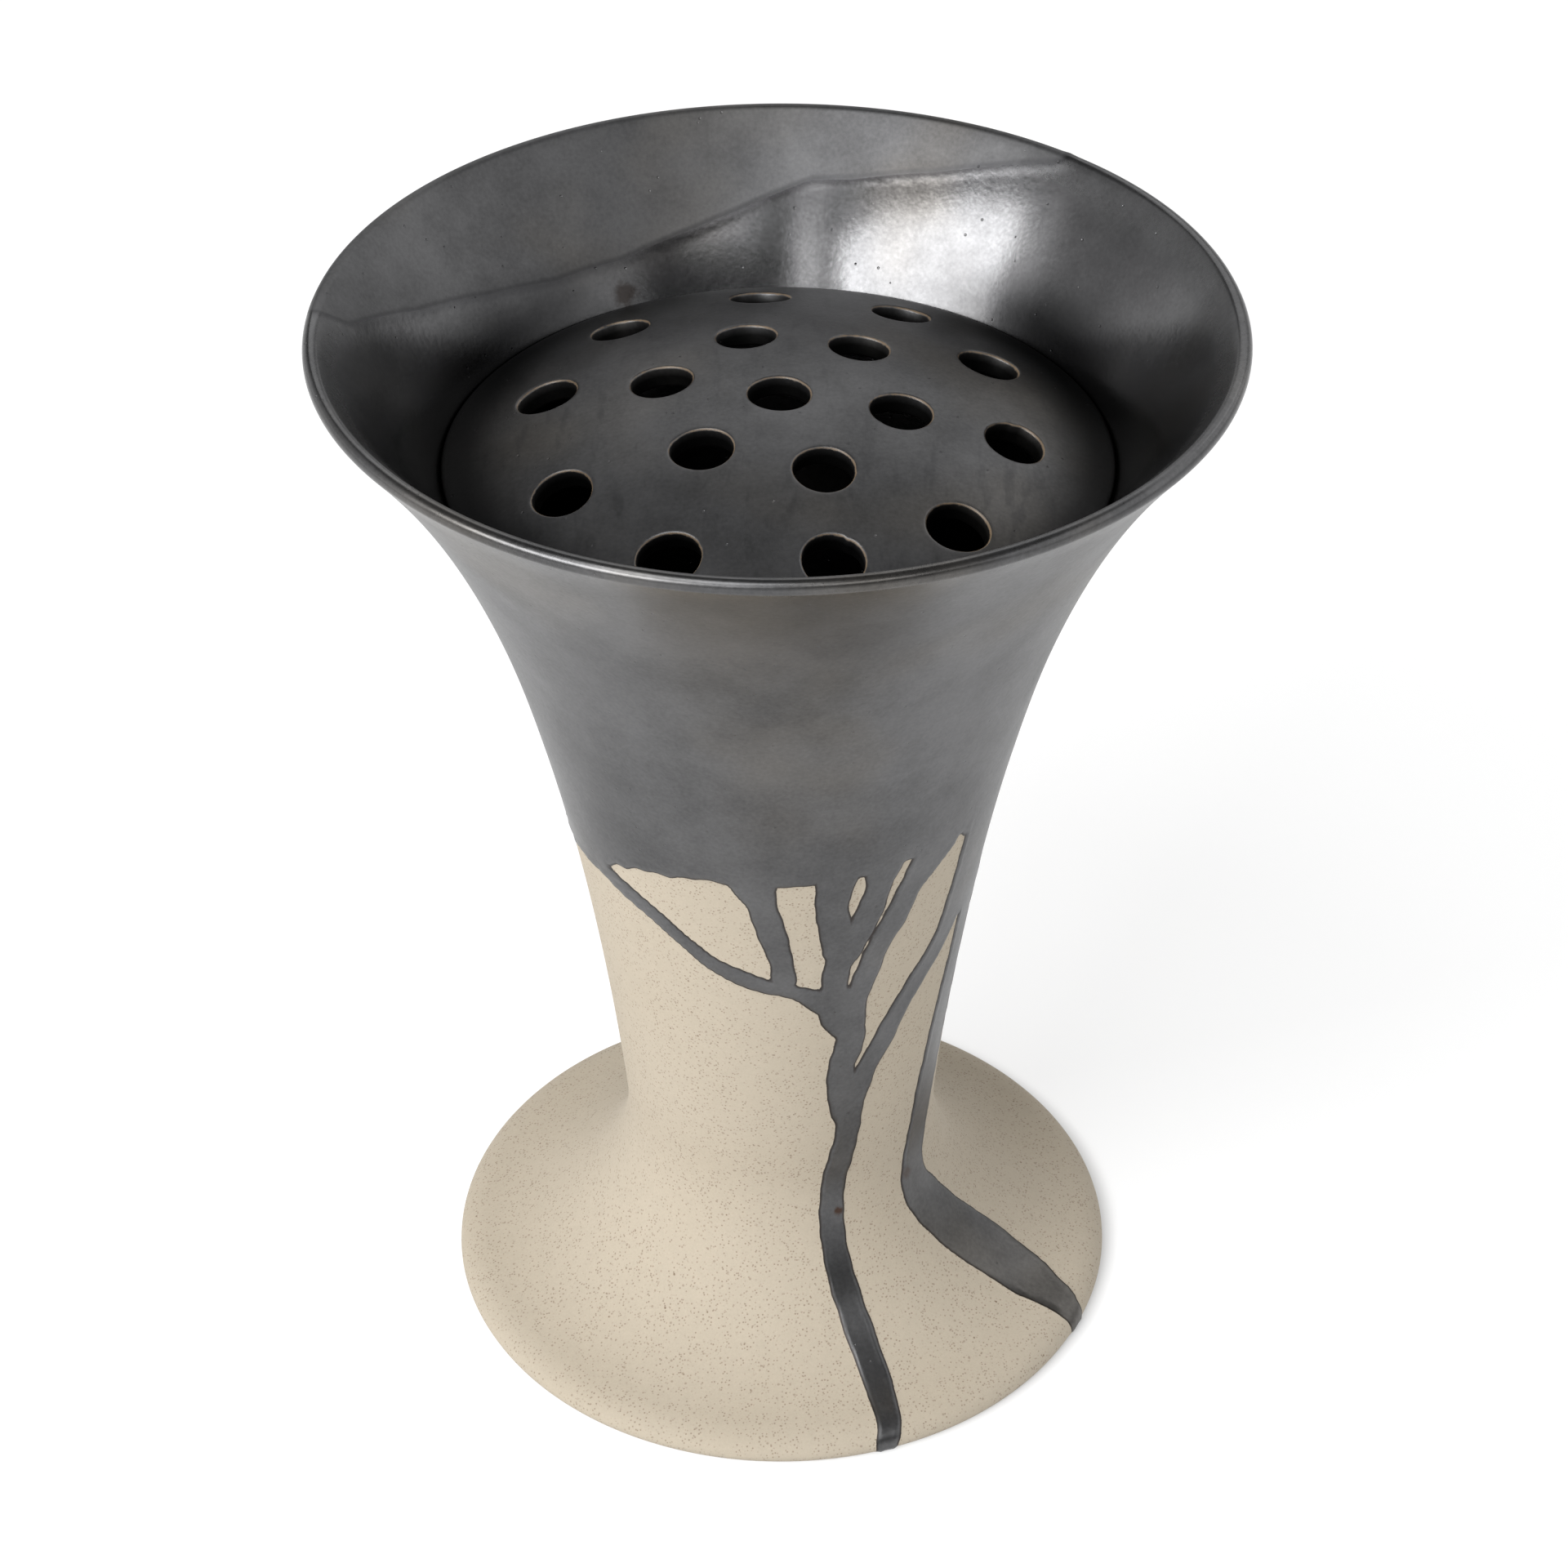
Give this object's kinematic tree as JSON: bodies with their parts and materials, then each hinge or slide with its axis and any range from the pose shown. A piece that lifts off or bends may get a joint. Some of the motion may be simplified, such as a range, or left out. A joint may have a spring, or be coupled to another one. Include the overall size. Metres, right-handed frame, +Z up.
{
  "type": "flower frog",
  "caption": "Trumpet-shaped stoneware vase on a wide disc foot, with a domed pierced insert resting in its mouth to hold flower stems.",
  "frame": {"origin": "centre of the foot's underside, on the plane it stands on", "axes": "+Z up along the vase's axis, -Y towards the side with the glaze runs"},
  "size_m": [0.24, 0.24, 0.3149],
  "materials": {
    "vase_stoneware": "bare buff stoneware with fine dark specks, matt; dark satin glaze inside and over the upper outside, running down in drips",
    "dark_glaze": "satin graphite glaze that breaks to brown on the edges of the holes"
  },
  "bodies": {
    "vase": {"trumpet_vase": "vase_stoneware"},
    "dome": {"frog_dome": "dark_glaze"}
  },
  "joints": [
    {"name": "dome_lift", "type": "slide", "parent": "vase", "child": "dome", "axis": [0, 0, 1], "range_m": [0, 0.065]}
  ]
}
